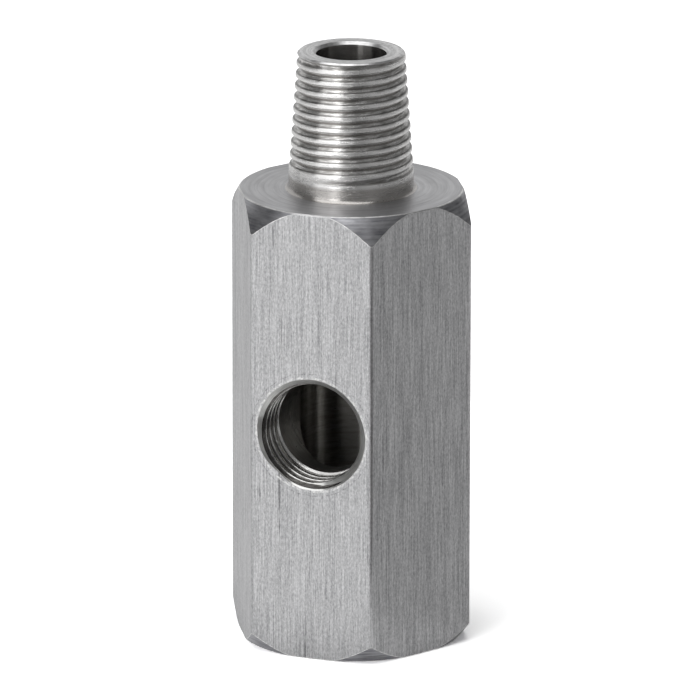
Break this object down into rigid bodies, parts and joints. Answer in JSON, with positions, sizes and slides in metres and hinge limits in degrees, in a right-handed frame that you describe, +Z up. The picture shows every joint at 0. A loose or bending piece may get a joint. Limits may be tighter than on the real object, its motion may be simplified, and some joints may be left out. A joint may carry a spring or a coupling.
{
  "type": "tee adapter fitting",
  "caption": "Hexagonal steel tee adapter with a tapered male thread on top, a tapped port in one flat and a tapped port in the bottom face, joined by one drilled passage.",
  "frame": {"origin": "centre of the bottom face, on the axis of the bottom port", "axes": "+Z up the axis to the male end, -Y out of the side port"},
  "size_m": [0.0218, 0.019, 0.0514],
  "materials": {
    "steel": "bright drawn hexagon flats with lengthwise draw lines, turned shoulder and chamfers, cut threads"
  },
  "bodies": {
    "root": {"tee_body": "steel"}
  },
  "joints": []
}
